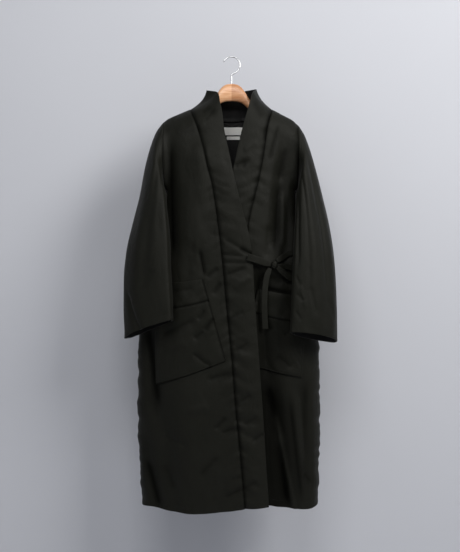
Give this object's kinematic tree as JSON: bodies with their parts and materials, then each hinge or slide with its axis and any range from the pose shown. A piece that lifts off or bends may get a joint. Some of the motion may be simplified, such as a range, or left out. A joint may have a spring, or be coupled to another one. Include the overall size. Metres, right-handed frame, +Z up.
{
  "type": "wrap coat on a hanger",
  "caption": "Long padded wrap coat with a crossover band collar, tie belt and patch pockets, hung on a flat-winged wooden hanger with a wire hook.",
  "frame": {"origin": "inner top of the hanger's hook, where it bears on a rail", "axes": "+Z up along the hang of the coat, -Y out of its front, +X to the right of someone who looks at the front"},
  "size_m": [0.648, 0.2306, 1.38],
  "materials": {
    "cloth": "matte near-black woven cloth, lightly padded",
    "label": "blank satin label tape",
    "wood": "clear satin lacquer on beech",
    "hook": "polished wire"
  },
  "bodies": {
    "root": {"front_over": "cloth", "front_under": "cloth", "back": "cloth", "band_over": "cloth", "band_under": "cloth", "sleeve_left": "cloth", "sleeve_right": "cloth", "pocket_left": "cloth", "pocket_right": "cloth", "tie_front": "cloth", "tie_side": "cloth", "tie_loop": "cloth", "tie_end": "cloth", "tie_knot": "cloth", "neck_loop": "cloth", "label_neck": "label", "label_size": "label", "hanger_wood": "wood", "hanger_hook": "hook"}
  },
  "joints": []
}
